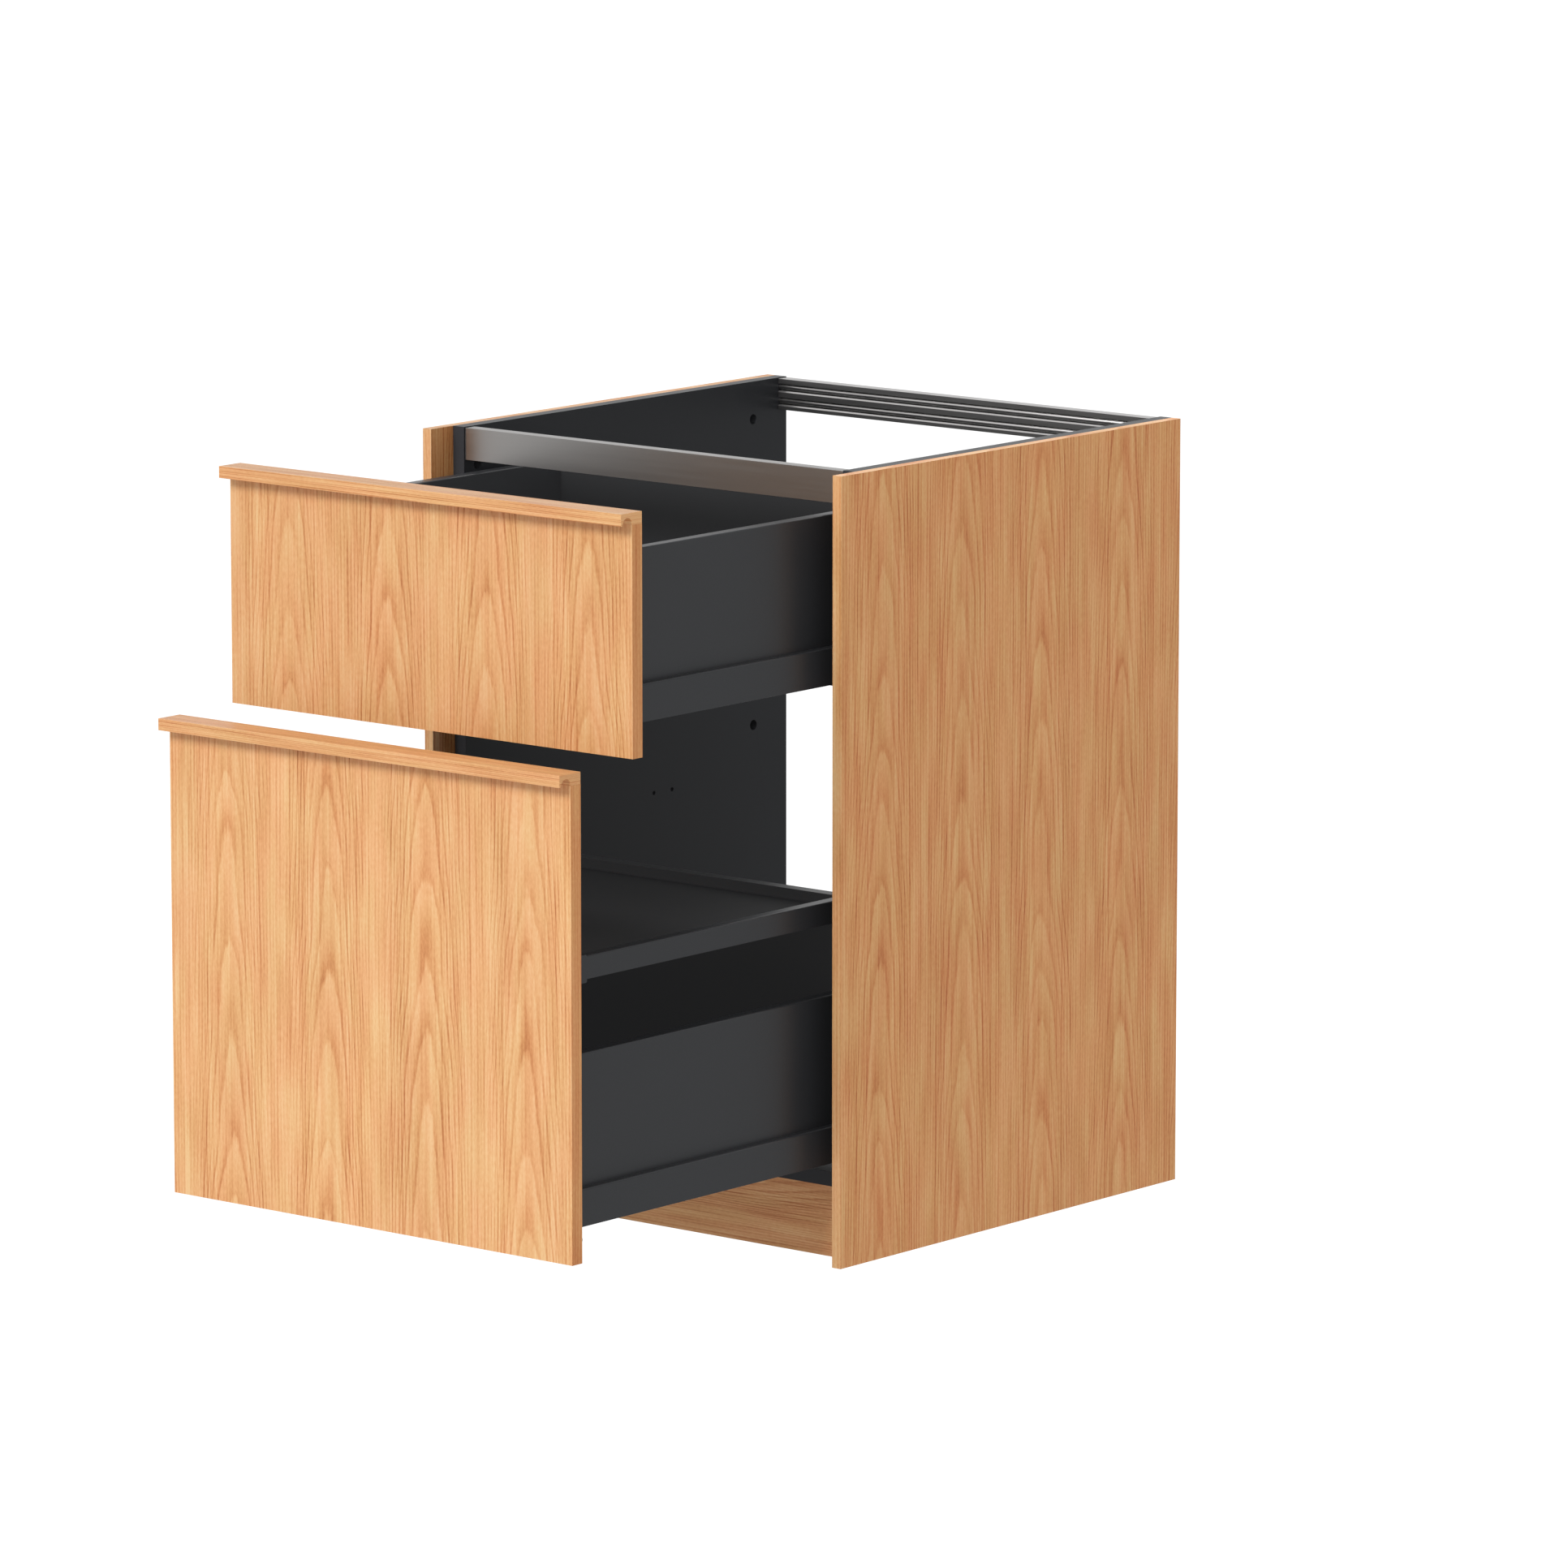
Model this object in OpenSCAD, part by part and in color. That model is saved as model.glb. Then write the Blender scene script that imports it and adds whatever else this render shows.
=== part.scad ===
// Vanity base cabinet with oak fronts, oak cover panels and three metal-sided drawers.
// The lowest drawer carries the tall front, and a shallow inner drawer runs behind it.
// X runs across the cabinet, Y from its front to the wall and Z up from the floor.
// The origin is on the floor, midway between the furthest handle and the wall.

/* [Cabinet] */
// Width over both cover panels
cabinet_w = 600; // [450:10:900]
// Depth of the cover panels, from their front edges to the wall
cabinet_d = 600; // [590:5:700]
// Height from the floor to the worktop
cabinet_h = 870; // [820:5:960]
// Thickness of an oak cover panel
cover_t = 12; // [8:1:20]
// Thickness of a carcass board
board_t = 16; // [14:1:20]
// Distance from a cover panel's front edge back to the carcass
carcass_setback = 37; // [30:1:50]
// Height of the carcass above the floor
leg_h = 80; // [70:5:110]
// Thickness of the plinth board
plinth_t = 16; // [10:1:22]
// Distance from the carcass front back to the plinth
plinth_setback = 5; // [0:1:20]

/* [Top rails] */
// Height of a rail's extruded profile
rail_h = 36; // [35:1:50]
// Depth of a rail's extruded profile
rail_d = 15; // [14:0.5:22]
// Wall thickness of the extruded profile
rail_wall = 1.6; // [1.2:0.1:2]
// Height of each of the two channels in the profile's ribbed face
channel_h = 8; // [7.4:0.2:8.4]
// Distance between the middles of those channels
channel_pitch = 16; // [15:0.2:17]
// Depth of the channels
channel_d = 7; // [7:0.5:9]
// Bevel along the lower lip of each channel
channel_bevel = 1.6; // [0.2:0.2:2.2]
// Outer radius of the screw port that runs in each channel
port_r = 3.2; // [3:0.1:3.4]
// Distance from the top of the carcass down to the rails
rail_drop = 1; // [0:0.5:4]
// Distance from the carcass front back to the front rail
rail_setback = 1.8; // [0:0.2:6]

/* [Fronts] */
// Thickness of an oak front
front_t = 16; // [12:1:22]
// Height of the upper front with its handle strip
top_front_h = 262; // [220:2:320]
// Gap between the two fronts
front_gap = 2; // [1:0.5:5]
// Gap between a front and the cover panel beside it
front_side_gap = 1.75; // [1:0.25:4]
// Distance from the worktop down to the upper front
top_reveal = 3.5; // [2:0.5:10]
// How far the lower front hangs below the carcass
front_drop = 3.5; // [0:0.5:10]
// Gap between a closed front and the carcass, which the bumpers fill
closed_gap = 2; // [1.5:0.5:4]

/* [Handle strips] */
// Height of a handle strip
handle_h = 13; // [12:0.5:20]
// How far a handle strip stands out from the front
handle_reach = 18; // [16:1:24]
// Thickness of the lip at its lower edge
lip_t = 2.8; // [2:0.2:4]
// Straight rise of the finger groove below its half-round roof
groove_rise = 0.4; // [0:0.1:0.6]

/* [Drawers] */
// Length of a drawer from the back of its front to its rear end
drawer_l = 497.5; // [440:2.5:500]
// Thickness of a double-walled drawer side
side_w = 14.3; // [13:0.1:18]
// Gap between a drawer side and the carcass side
side_gap = 14; // [13:0.5:18]
// Thickness of the steel sheet
sheet_t = 1.2; // [0.8:0.1:1.6]
// Height of the drawer sides above the bottom edge of their front
side_lift = 32.5; // [25:0.5:50]
// Distance from the top of the upper front down to its drawer's rim
rim_drop = 45; // [42:1:70]
// Height of the lowest drawer's sides
lower_side_h = 184.5; // [100:0.5:240]
// Height of the band that stands out along the foot of a side
band_h = 41; // [30:1:60]
// How far the band stands out from the side
band_reach = 9; // [6:0.5:9]
// Thickness of a drawer bottom
bottom_t = 12; // [8:1:16]
// Thickness of a drawer's back panel
back_t = 16; // [12:1:20]

/* [Inner drawer] */
// Height of the inner drawer above the lowest drawer
inner_rise = 263; // [255:1:300]
// Height of the inner drawer's sides
inner_side_h = 25; // [24:1:60]
// Distance from the tall front back to the inner drawer's sides
inner_setback = 41; // [34:1:60]
// How much further forward its rear end is than the lowest drawer's
inner_shortfall = 3.5; // [0:0.5:10]
// Thickness of the inner drawer's front bar
front_bar_t = 12; // [8:1:14]
// Gap between the inner drawer and the lowest drawer's tall back panel under it
tall_back_gap = 6; // [4:0.5:20]

/* [Runners] */
// Length of the runner member that is screwed to the carcass
runner_l = 500; // [440:5:505]
// Thickness of the runner's steel
runner_t = 1.5; // [1:0.1:1.6]
// Running gap between the members of a runner
runner_gap = 0.3; // [0.2:0.05:0.4]
// Inner height of the pocket that takes the runner under a drawer side
pocket_h = 18.6; // [17:0.2:20]
// Length of the inner drawer's fixed runner member
inner_runner_l = 125; // [110:5:300]
// Length of the inner drawer's middle runner member
inner_slide_l = 345; // [320:5:400]

/* [Shown position] */
// How far the top drawer is pulled out
top_pull = 348.5; // [0:0.5:500]
// How far the lowest and inner drawers are pulled out
lower_pull = 448.5; // [0:0.5:500]

/* [Hidden] */
$fn = 48;

oak = [0.87, 0.64, 0.41];
oak_shade = [0.72, 0.50, 0.33];
anthracite = [0.22, 0.23, 0.24];
satin_metal = [0.50, 0.47, 0.45];
zinc = [0.74, 0.75, 0.77];
black_zinc = [0.16, 0.16, 0.17];
black_plastic = [0.10, 0.10, 0.11];

// Length that a cut runs past the face it opens
past = 1;

// Main planes of the carcass
half_w = cabinet_w / 2;
carcass_x = half_w - cover_t;
inner_x = carcass_x - board_t;
carcass_d = cabinet_d - carcass_setback;
floor_top = leg_h + board_t;

// Fronts, closed and as shown
closed_y = carcass_setback - closed_gap;
top_y = closed_y - top_pull;
lower_y = closed_y - lower_pull;
foremost_y = min(0, min(top_y, lower_y) - front_t - handle_reach);
centre_y = (foremost_y + cabinet_d) / 2;
front_w = cabinet_w - 2 * cover_t - 2 * front_side_gap;
top_front_top = cabinet_h - top_reveal;
top_front_z = top_front_top - top_front_h;
lower_front_top = top_front_z - front_gap;
lower_front_z = leg_h - front_drop;
lower_front_h = lower_front_top - lower_front_z;

// Drawer sides: inner face, undersides and heights
side_x = inner_x - side_gap - side_w;
top_base = top_front_z + side_lift;
top_side_h = top_front_top - rim_drop - top_base;
lower_base = lower_front_z + side_lift;
inner_base = lower_base + inner_rise;
inner_y = lower_y + inner_setback;
inner_l = drawer_l - inner_setback - inner_shortfall;
lower_back_h = inner_rise - tall_back_gap;
rim_r = 1.5;
band_r = 2;
flange_w = 14;
return_w = 4;
hollow_base = pocket_h + sheet_t;
board_fit = 0.25;
plug_fit = 0.15;
plug_x0 = side_x + sheet_t + plug_fit;
plug_x1 = side_x + side_w - sheet_t - plug_fit;

// Runners: the slide wraps round a beam on the fixed member
slide_base = 1;
slide_lip = 2;
slide_l = runner_l - 20;
slide_inset = 2;
runner_inset = 5;
runner_foot = 4;
runner_flange_h = 26;
beam_web = 2;
slide_x0 = sheet_t + runner_gap;
slide_w = side_w - 2 * slide_x0;
slide_top = pocket_h - runner_gap;
beam_w = slide_w - 2 * sheet_t - 2 * runner_gap;
beam_top = slide_top - sheet_t - runner_gap;
beam_base = slide_base + sheet_t + runner_gap;

// Screws
screw_r = 2;
screw_fit = 0.05;
head_r = 3.5;
head_h = 2;
runner_screw_r = 2.45;
runner_screw_h = 9;
runner_screw_l = 10;
runner_screw_ends = [34, 48];
runner_screw_pitch = 230;
rail_screw_l = 40;
bottom_screw_r = 2.5;
bottom_screw_l = 50;
bottom_screw_inset = 60;
countersunk_r = 4.5;
countersunk_h = 2.5;

// Counterbored holes for the screws that hold the cover panels
fixing_hole_r = 6;
fixing_skin = 3.5;
fixing_hole_front = 22.5;
fixing_hole_back = 60;
fixing_hole_drops = [44, 401];
cover_skin = 3;

// Spare system holes for one more runner
system_hole_r = 2.5;
system_hole_d = 12;
system_pitch = 32;
spare_hole_y = 325;
spare_hole_rise = 333;

// Levelling legs
leg_inset = 42;
leg_front = 45;
leg_back = 60;
leg_flange_r = 32;
leg_flange_t = 4;
leg_tube_r = 18;
leg_stem_r = 15;
leg_fit = 0.1;
leg_tube_base = 30;
leg_base_r = 27;
leg_base_h = 4;
leg_cone_h = 5;
leg_grip_r = 19;
leg_grip_h = 7;
leg_notch_r = 3;
leg_rib_t = 2;
leg_rib_reach = 12;
leg_rib_drop = 19;
leg_travel_up = 12;
leg_x = inner_x - leg_inset;
plinth_y = carcass_setback + plinth_setback;
plinth_back = plinth_y + plinth_t;
plinth_fit = 0.5;
leg_places = [plinth_back + leg_front, cabinet_d - leg_back];

// Brackets, end caps and bumpers
bracket_plate = 2.5;
bracket_arm = 1.5;
bracket_l = 30;
bracket_screw_inset = 16;
front_skin = 5;
back_plate_t = 1.5;
back_plate_w = 40;
bumper_r = 5;
bumper_fit = 0.1;
bumper_inset = 25;
cap_l = 18;
cap_over = 1.6;
cap_under = 3.5;
cap_proud = 0.8;
cap_inward = 4;
cap_r = 2;

// Puts a piece drawn from the cover panels' front edges into the part's own frame
module in_frame() translate([0, -centre_y, 0]) children();

// Draws a right-hand piece, or its mirror image for the left
module on_side(side) {
    if (side < 0) mirror([1, 0, 0]) children();
    else children();
}

// Draws a right-hand piece and its mirror image
module both_sides() {
    children();
    mirror([1, 0, 0]) children();
}

// Extrudes an outline in X and Z backwards from y
module along_y(y, length)
    translate([0, y + length, 0]) rotate([90, 0, 0]) linear_extrude(length) children();

// Extrudes an outline in Y and Z across the cabinet, centred
module along_x(length)
    translate([-length / 2, 0, 0]) rotate([90, 0, 90]) linear_extrude(length) children();

// A box between two opposite corners
module span(low, high) translate(low) cube(high - low);

// A cylinder that points along +X or +Y from its base
module rod_x(r, length) rotate([0, 90, 0]) cylinder(h = length, r = r);
module rod_y(r, length) rotate([-90, 0, 0]) cylinder(h = length, r = r);

// A rectangle whose top corners are rounded
module round_topped(w, h, r) {
    square([w, h - r]);
    translate([r, 0]) square([w - 2 * r, h]);
    translate([r, h - r]) circle(r);
    translate([w - r, h - r]) circle(r);
}

// Carcass

function rail_channel_z(k) = rail_h / 2 + (k - 0.5) * channel_pitch;
function rail_z() = cabinet_h - rail_drop - rail_h;
function front_port_y() = carcass_setback + rail_setback + rail_d - channel_d + port_r;
function rear_port_y() = cabinet_d - rail_d + channel_d - port_r;

module at_rail_ports()
    for (y = [front_port_y(), rear_port_y()], k = [0, 1])
        translate([0, y, rail_z() + rail_channel_z(k)]) children();

module at_bottom_screws()
    for (k = [0:2])
        translate([0, carcass_setback + bottom_screw_inset
            + k * (carcass_d / 2 - bottom_screw_inset), leg_h + board_t / 2]) children();

module at_fixing_holes()
    for (y = [carcass_setback + fixing_hole_front, cabinet_d - fixing_hole_back])
        for (drop = fixing_hole_drops)
            translate([0, y, cabinet_h - drop]) children();

// Each runner level: its underside, the closed place of its drawer side, both members' lengths
RUNNER_LEVELS = [
    [top_base, closed_y, runner_l, slide_l],
    [inner_base, closed_y + inner_setback, inner_runner_l, inner_slide_l],
    [lower_base, closed_y, runner_l, slide_l]
];

// A screw near each end of a fixed member, and more between them where it is long
module at_runner_screws() for (level = RUNNER_LEVELS) {
    reach = level[2] - runner_screw_ends[0] - runner_screw_ends[1];
    bays = max(1, round(reach / runner_screw_pitch));
    for (k = [0:bays])
        translate([0, level[1] + runner_inset + runner_screw_ends[0] + k * reach / bays,
            level[0] + runner_screw_h]) children();
}

module side_panel() difference() {
    span([inner_x, carcass_setback, leg_h], [carcass_x, cabinet_d, cabinet_h]);
    at_fixing_holes() {
        translate([inner_x - past, 0, 0]) rod_x(fixing_hole_r, past + board_t - fixing_skin);
        translate([inner_x, 0, 0]) rod_x(screw_r + screw_fit, board_t + past);
    }
    for (k = [0, 1])
        translate([inner_x - past, carcass_setback + spare_hole_y + k * system_pitch,
            leg_h + spare_hole_rise]) rod_x(system_hole_r, past + system_hole_d);
    at_runner_screws()
        translate([inner_x - past, 0, 0]) rod_x(system_hole_r, past + system_hole_d);
    at_rail_ports() {
        translate([inner_x - past, 0, 0]) rod_x(screw_r + screw_fit, board_t + 2 * past);
        translate([carcass_x, 0, 0]) screw_head_cut();
    }
    at_bottom_screws() {
        translate([inner_x - past, 0, 0])
            rod_x(bottom_screw_r + screw_fit, board_t + 2 * past);
        translate([carcass_x, 0, 0]) screw_head_cut();
    }
}

// The cone that a countersunk head fills, below a face at the origin that looks along +X
module screw_head_cut() translate([-countersunk_h, 0, 0])
    rotate([0, 90, 0]) cylinder(h = countersunk_h, r1 = screw_r, r2 = countersunk_r);

// A countersunk screw whose head is flush with a face at the origin and points to -X
module countersunk_screw(r, length) {
    translate([-length, 0, 0]) rod_x(r, length);
    screw_head_cut();
}

module left_side_panel() in_frame() color(anthracite) on_side(-1) side_panel();
module right_side_panel() in_frame() color(anthracite) on_side(1) side_panel();

module bottom_panel() in_frame() color(anthracite) difference() {
    span([-inner_x, carcass_setback, leg_h], [inner_x, cabinet_d, floor_top]);
    both_sides() at_bottom_screws() translate([inner_x, 0, 0])
        rotate([0, 180, 0]) translate([-past, 0, 0])
            rod_x(bottom_screw_r + screw_fit, past + bottom_screw_l - board_t);
}

// Outline of the rail extrusion: its smooth face is at the left, its ribbed face at the right
module rail_profile() {
    difference() {
        square([rail_d, rail_h]);
        for (k = [0, 1]) translate([rail_d - channel_d, rail_channel_z(k) - channel_h / 2]) {
            square([channel_d + past, channel_h]);
            translate([channel_d, 0]) polygon([
                [-channel_bevel, 0], [0, -channel_bevel], [past, -channel_bevel],
                [past, past], [-channel_bevel, past]
            ]);
        }
        translate([rail_wall, rail_wall])
            square([rail_d - channel_d - 2 * rail_wall, rail_h - 2 * rail_wall]);
        rail_cells();
    }
    for (k = [0, 1]) translate([rail_d - channel_d, rail_channel_z(k)]) difference() {
        union() {
            translate([-rail_wall, -port_r / 2]) square([rail_wall + port_r / 2, port_r]);
            translate([port_r, 0]) circle(port_r);
        }
        translate([port_r, 0]) circle(screw_r + screw_fit);
    }
}

// The hollow cells behind the three flats of the ribbed face
module rail_cells() {
    outer_h = (rail_h - channel_pitch - channel_h) / 2;
    rail_cell(0, outer_h);
    rail_cell(outer_h + channel_h, channel_pitch - channel_h);
    rail_cell(rail_h - outer_h, outer_h);
}

module rail_cell(z, h) translate([rail_wall, z + rail_wall])
    square([rail_d - 2 * rail_wall, h - 2 * rail_wall]);

module rail() along_x(2 * inner_x) rail_profile();

module front_rail() in_frame() color(satin_metal)
    translate([0, carcass_setback + rail_setback, rail_z()]) rail();

module rear_rail() in_frame() color(satin_metal)
    translate([0, cabinet_d, rail_z()]) mirror([0, 1, 0]) rail();

module cover_panel() difference() {
    span([carcass_x, 0, 0], [half_w, cabinet_d, cabinet_h]);
    at_fixing_holes() translate([carcass_x - past, 0, 0])
        rod_x(screw_r + screw_fit, past + cover_t - cover_skin);
}

module left_cover_panel() in_frame() color(oak) on_side(-1) cover_panel();
module right_cover_panel() in_frame() color(oak) on_side(1) cover_panel();

module rail_screws() in_frame() color(zinc) both_sides() at_rail_ports()
    translate([carcass_x, 0, 0]) countersunk_screw(screw_r, rail_screw_l);

module bottom_screws() in_frame() color(zinc) both_sides() at_bottom_screws()
    translate([carcass_x, 0, 0]) countersunk_screw(bottom_screw_r, bottom_screw_l);

// The heads sit on the board left at the bottom of each counterbored hole
module cover_screws() in_frame() color(black_zinc) both_sides() at_fixing_holes()
    translate([carcass_x - fixing_skin, 0, 0]) {
        rod_x(screw_r, fixing_skin + cover_t - cover_skin);
        translate([-head_h, 0, 0]) rod_x(head_r, head_h);
    }

// Plinth and legs

module plinth() in_frame() color(oak_shade)
    span([-carcass_x, plinth_y, 0], [carcass_x, plinth_back, leg_h - plinth_fit]);

module leg_socket() {
    translate([0, 0, leg_h - leg_flange_t]) cylinder(h = leg_flange_t, r = leg_flange_r);
    difference() {
        translate([0, 0, leg_tube_base])
            cylinder(h = leg_h - leg_flange_t - leg_tube_base, r = leg_tube_r);
        translate([0, 0, leg_tube_base - past])
            cylinder(h = leg_h - leg_flange_t - leg_tube_base + past, r = leg_stem_r + leg_fit);
    }
    for (turn = [45:90:315]) rotate([0, 0, turn]) leg_rib();
}

// A stiffening rib between the leg's tube and its flange
module leg_rib()
    translate([leg_tube_r - leg_rib_t / 2, leg_rib_t / 2, leg_h - leg_flange_t])
        rotate([90, 0, 0]) linear_extrude(leg_rib_t)
            polygon([[0, 0], [leg_rib_reach, 0], [0, -leg_rib_drop]]);

module leg_sockets() in_frame() color(black_plastic) both_sides()
    for (y = leg_places) translate([leg_x, y, 0]) leg_socket();

module leg_foot(side, place) in_frame() color(black_plastic) on_side(side)
    translate([leg_x, leg_places[place], 0]) {
        cylinder(h = leg_base_h, r = leg_base_r);
        translate([0, 0, leg_base_h])
            cylinder(h = leg_cone_h, r1 = leg_base_r, r2 = leg_stem_r);
        translate([0, 0, leg_base_h + leg_cone_h]) leg_grip();
        cylinder(h = leg_h - leg_flange_t - leg_travel_up - past, r = leg_stem_r);
    }

// The grooved ring that is turned to level the cabinet
module leg_grip() difference() {
    cylinder(h = leg_grip_h, r = leg_grip_r);
    for (turn = [0:45:315]) rotate([0, 0, turn]) translate([leg_grip_r, 0, -past])
        cylinder(h = leg_grip_h + 2 * past, r = leg_notch_r);
}

module leg_foot_front_left() leg_foot(-1, 0);
module leg_foot_front_right() leg_foot(1, 0);
module leg_foot_back_left() leg_foot(-1, 1);
module leg_foot_back_right() leg_foot(1, 1);

// A ring that snaps round each front leg's tube and holds the plinth's back
module plinth_clips() {
    clip_z = leg_tube_base + 8;
    clip_h = 14;
    ring_t = 3;
    arm_w = 16;
    pad_t = 2;
    pad_over = 4;
    in_frame() color(black_plastic) both_sides() translate([leg_x, leg_places[0], clip_z])
        difference() {
            union() {
                cylinder(h = clip_h, r = leg_tube_r + leg_fit + ring_t);
                span([-arm_w / 2, -leg_front, 0], [arm_w / 2, 0, clip_h]);
                span([-arm_w, -leg_front, -pad_over],
                    [arm_w, pad_t - leg_front, clip_h + pad_over]);
            }
            translate([0, 0, -past]) cylinder(h = clip_h + 2 * past, r = leg_tube_r + leg_fit);
            span([-arm_w / 2, 0, -past], [arm_w / 2, 2 * leg_tube_r, clip_h + past]);
        }
}

// Runners

// The fixed member: a beam for the slide, a foot under the drawer side, a wall flange
module runner_profile() {
    mid = side_w / 2;
    wall = inner_x - side_x;
    translate([mid - beam_w / 2, beam_top - runner_t]) square([beam_w, runner_t]);
    translate([mid - beam_w / 2, beam_base]) square([beam_w, runner_t]);
    translate([mid - beam_web / 2, -runner_foot]) square([beam_web, beam_top + runner_foot]);
    translate([mid - beam_web / 2, -runner_foot])
        square([wall - mid + beam_web / 2, runner_t]);
    translate([wall - runner_t, -runner_foot]) square([runner_t, runner_flange_h]);
}

module runner(side, level) in_frame() color(anthracite) on_side(side) difference() {
    translate([side_x, 0, RUNNER_LEVELS[level][0]])
        along_y(RUNNER_LEVELS[level][1] + runner_inset, RUNNER_LEVELS[level][2])
            runner_profile();
    at_runner_screws() translate([inner_x - runner_t - past, 0, 0])
        rod_x(runner_screw_r + screw_fit, runner_t + 2 * past);
}

module top_runner_left() runner(-1, 0);
module top_runner_right() runner(1, 0);
module inner_runner_left() runner(-1, 1);
module inner_runner_right() runner(1, 1);
module lower_runner_left() runner(-1, 2);
module lower_runner_right() runner(1, 2);

module runner_screws() in_frame() color(zinc) both_sides() at_runner_screws()
    translate([inner_x - runner_t, 0, 0]) {
        rod_x(runner_screw_r, runner_t + runner_screw_l);
        translate([-head_h, 0, 0]) rod_x(head_r, head_h);
    }

// The middle member: a channel that hooks round the beam and slides in the drawer side
module slide_profile() difference() {
    translate([slide_x0, slide_base]) square([slide_w, slide_top - slide_base]);
    translate([slide_x0 + sheet_t, slide_base + sheet_t])
        square([slide_w - 2 * sheet_t, slide_top - slide_base - 2 * sheet_t]);
    translate([slide_x0 + sheet_t + slide_lip, slide_base - past])
        square([slide_w - 2 * sheet_t - 2 * slide_lip, 2 * past + sheet_t]);
}

// It travels half as far as its drawer
module slide(side, level, pull) in_frame() color(anthracite) on_side(side)
    translate([side_x, 0, RUNNER_LEVELS[level][0]])
        along_y(RUNNER_LEVELS[level][1] + runner_inset + slide_inset - pull / 2,
            RUNNER_LEVELS[level][3]) slide_profile();

module top_slide_left() slide(-1, 0, top_pull);
module top_slide_right() slide(1, 0, top_pull);
module inner_slide_left() slide(-1, 1, lower_pull);
module inner_slide_right() slide(1, 1, lower_pull);
module lower_slide_left() slide(-1, 2, lower_pull);
module lower_slide_right() slide(1, 2, lower_pull);

// Drawers

// Outline of a drawer side: two walls under a round rim, a pocket for the runner below
module side_profile(h, banded) {
    difference() {
        union() {
            round_topped(side_w, h, rim_r);
            if (banded) side_band();
        }
        translate([sheet_t, hollow_base])
            square([side_w - 2 * sheet_t, h - sheet_t - hollow_base]);
        translate([sheet_t, -past]) square([side_w - 2 * sheet_t, past + pocket_h]);
        if (banded) translate([side_w, -past])
            square([band_reach - sheet_t, past + band_h - sheet_t]);
    }
    translate([-flange_w, 0]) square([flange_w + sheet_t, sheet_t]);
    if (banded) translate([side_w + band_reach - return_w, 0]) square([return_w, sheet_t]);
}

// The band that covers the runner, with its outer corner rounded
module side_band() {
    square([side_w + band_reach, band_h - band_r]);
    square([side_w + band_reach - band_r, band_h]);
    translate([side_w + band_reach - band_r, band_h - band_r]) circle(band_r);
}

module drawer_side(side, y, base, h, length, banded) in_frame() color(anthracite) on_side(side)
    translate([side_x, 0, base]) along_y(y, length) side_profile(h, banded);

module drawer_bottom(y, base, length) in_frame() color(anthracite)
    span([board_fit - side_x, y + board_fit, base + sheet_t],
        [side_x - board_fit, y + length, base + sheet_t + bottom_t]);

// The back panel stands on the drawer bottom, flush with the rear end at y, and is h high
module drawer_back(y, base, h) in_frame() color(anthracite)
    span([board_fit - side_x, y - back_t, base + sheet_t + bottom_t],
        [side_x - board_fit, y, base + h]);

// A front panel: z, h are its place and height with the handle strip on top
module front_panel(y, z, h, base, side_h) in_frame() color(oak) difference() {
    span([-front_w / 2, y - front_t, z], [front_w / 2, y, z + h - handle_h]);
    both_sides() at_bracket_screws(base, side_h) translate([0, y + past, 0])
        rotate([0, 0, 180]) rod_y(screw_r + screw_fit, past + front_t - front_skin);
}

// Outline of a handle strip: a block on the panel with a lip before a round finger groove
module handle_profile() difference() {
    translate([-front_t - handle_reach, 0]) square([front_t + handle_reach, handle_h]);
    translate([-front_t - handle_reach + lip_t, 0]) groove_profile();
}

// The groove fills the width between the lip and the panel under a half-round roof
module groove_profile() {
    r = (handle_reach - lip_t) / 2;
    translate([0, -past]) square([2 * r, groove_rise + past]);
    translate([r, groove_rise]) circle(r);
}

module handle_strip(y, top) in_frame() color(oak)
    translate([0, y, top - handle_h]) along_x(front_w) handle_profile();

// A bracket is screwed to the front and reaches into the hollow of a drawer side
module front_brackets(y, base, h) in_frame() color(zinc) both_sides() difference() {
    span([plug_x0, y, base + hollow_base + plug_fit],
        [plug_x1, y + bracket_l, base + h - sheet_t - plug_fit]);
    span([plug_x0 + bracket_arm, y + bracket_plate, base],
        [plug_x1 - bracket_arm, y + bracket_l + past, base + h]);
    at_bracket_screws(base, h) translate([0, y - past, 0])
        rod_y(screw_r + screw_fit, bracket_plate + 2 * past);
}

module at_bracket_screws(base, h)
    for (z = [base + hollow_base + bracket_screw_inset, base + h - bracket_screw_inset])
        translate([side_x + side_w / 2, 0, z]) children();

module front_screws(y, base, h) in_frame() color(zinc) both_sides()
    at_bracket_screws(base, h) translate([0, y + bracket_plate, 0]) {
        rod_y(head_r, head_h);
        rotate([0, 0, 180]) rod_y(screw_r, bracket_plate + front_t - front_skin);
    }

// A bracket plugs the rear end of a side and holds the back panel from behind
module back_brackets(y, base, h) in_frame() color(zinc) both_sides() translate([0, y, base]) {
    difference() {
        span([plug_x0, -bracket_l, hollow_base + plug_fit],
            [plug_x1, 0, h - sheet_t - plug_fit]);
        span([plug_x0 + bracket_arm, -bracket_l - past, hollow_base],
            [plug_x1 - bracket_arm, -bracket_plate, h]);
    }
    span([side_x - back_plate_w, 0, hollow_base], [side_x + side_w, back_plate_t, h - rim_r]);
    span([side_x - back_plate_w, 0, sheet_t + bottom_t],
        [side_x - board_fit, back_plate_t, h - rim_r]);
}

// Soft discs that meet the carcass when a front closes
module bumpers(y, z, h) in_frame() color(black_plastic) both_sides()
    for (disc_z = [z + bumper_inset, z + h - handle_h - bumper_inset])
        translate([inner_x + board_t / 2, y, disc_z]) rod_y(bumper_r, closed_gap - bumper_fit);

// Top drawer

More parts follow.
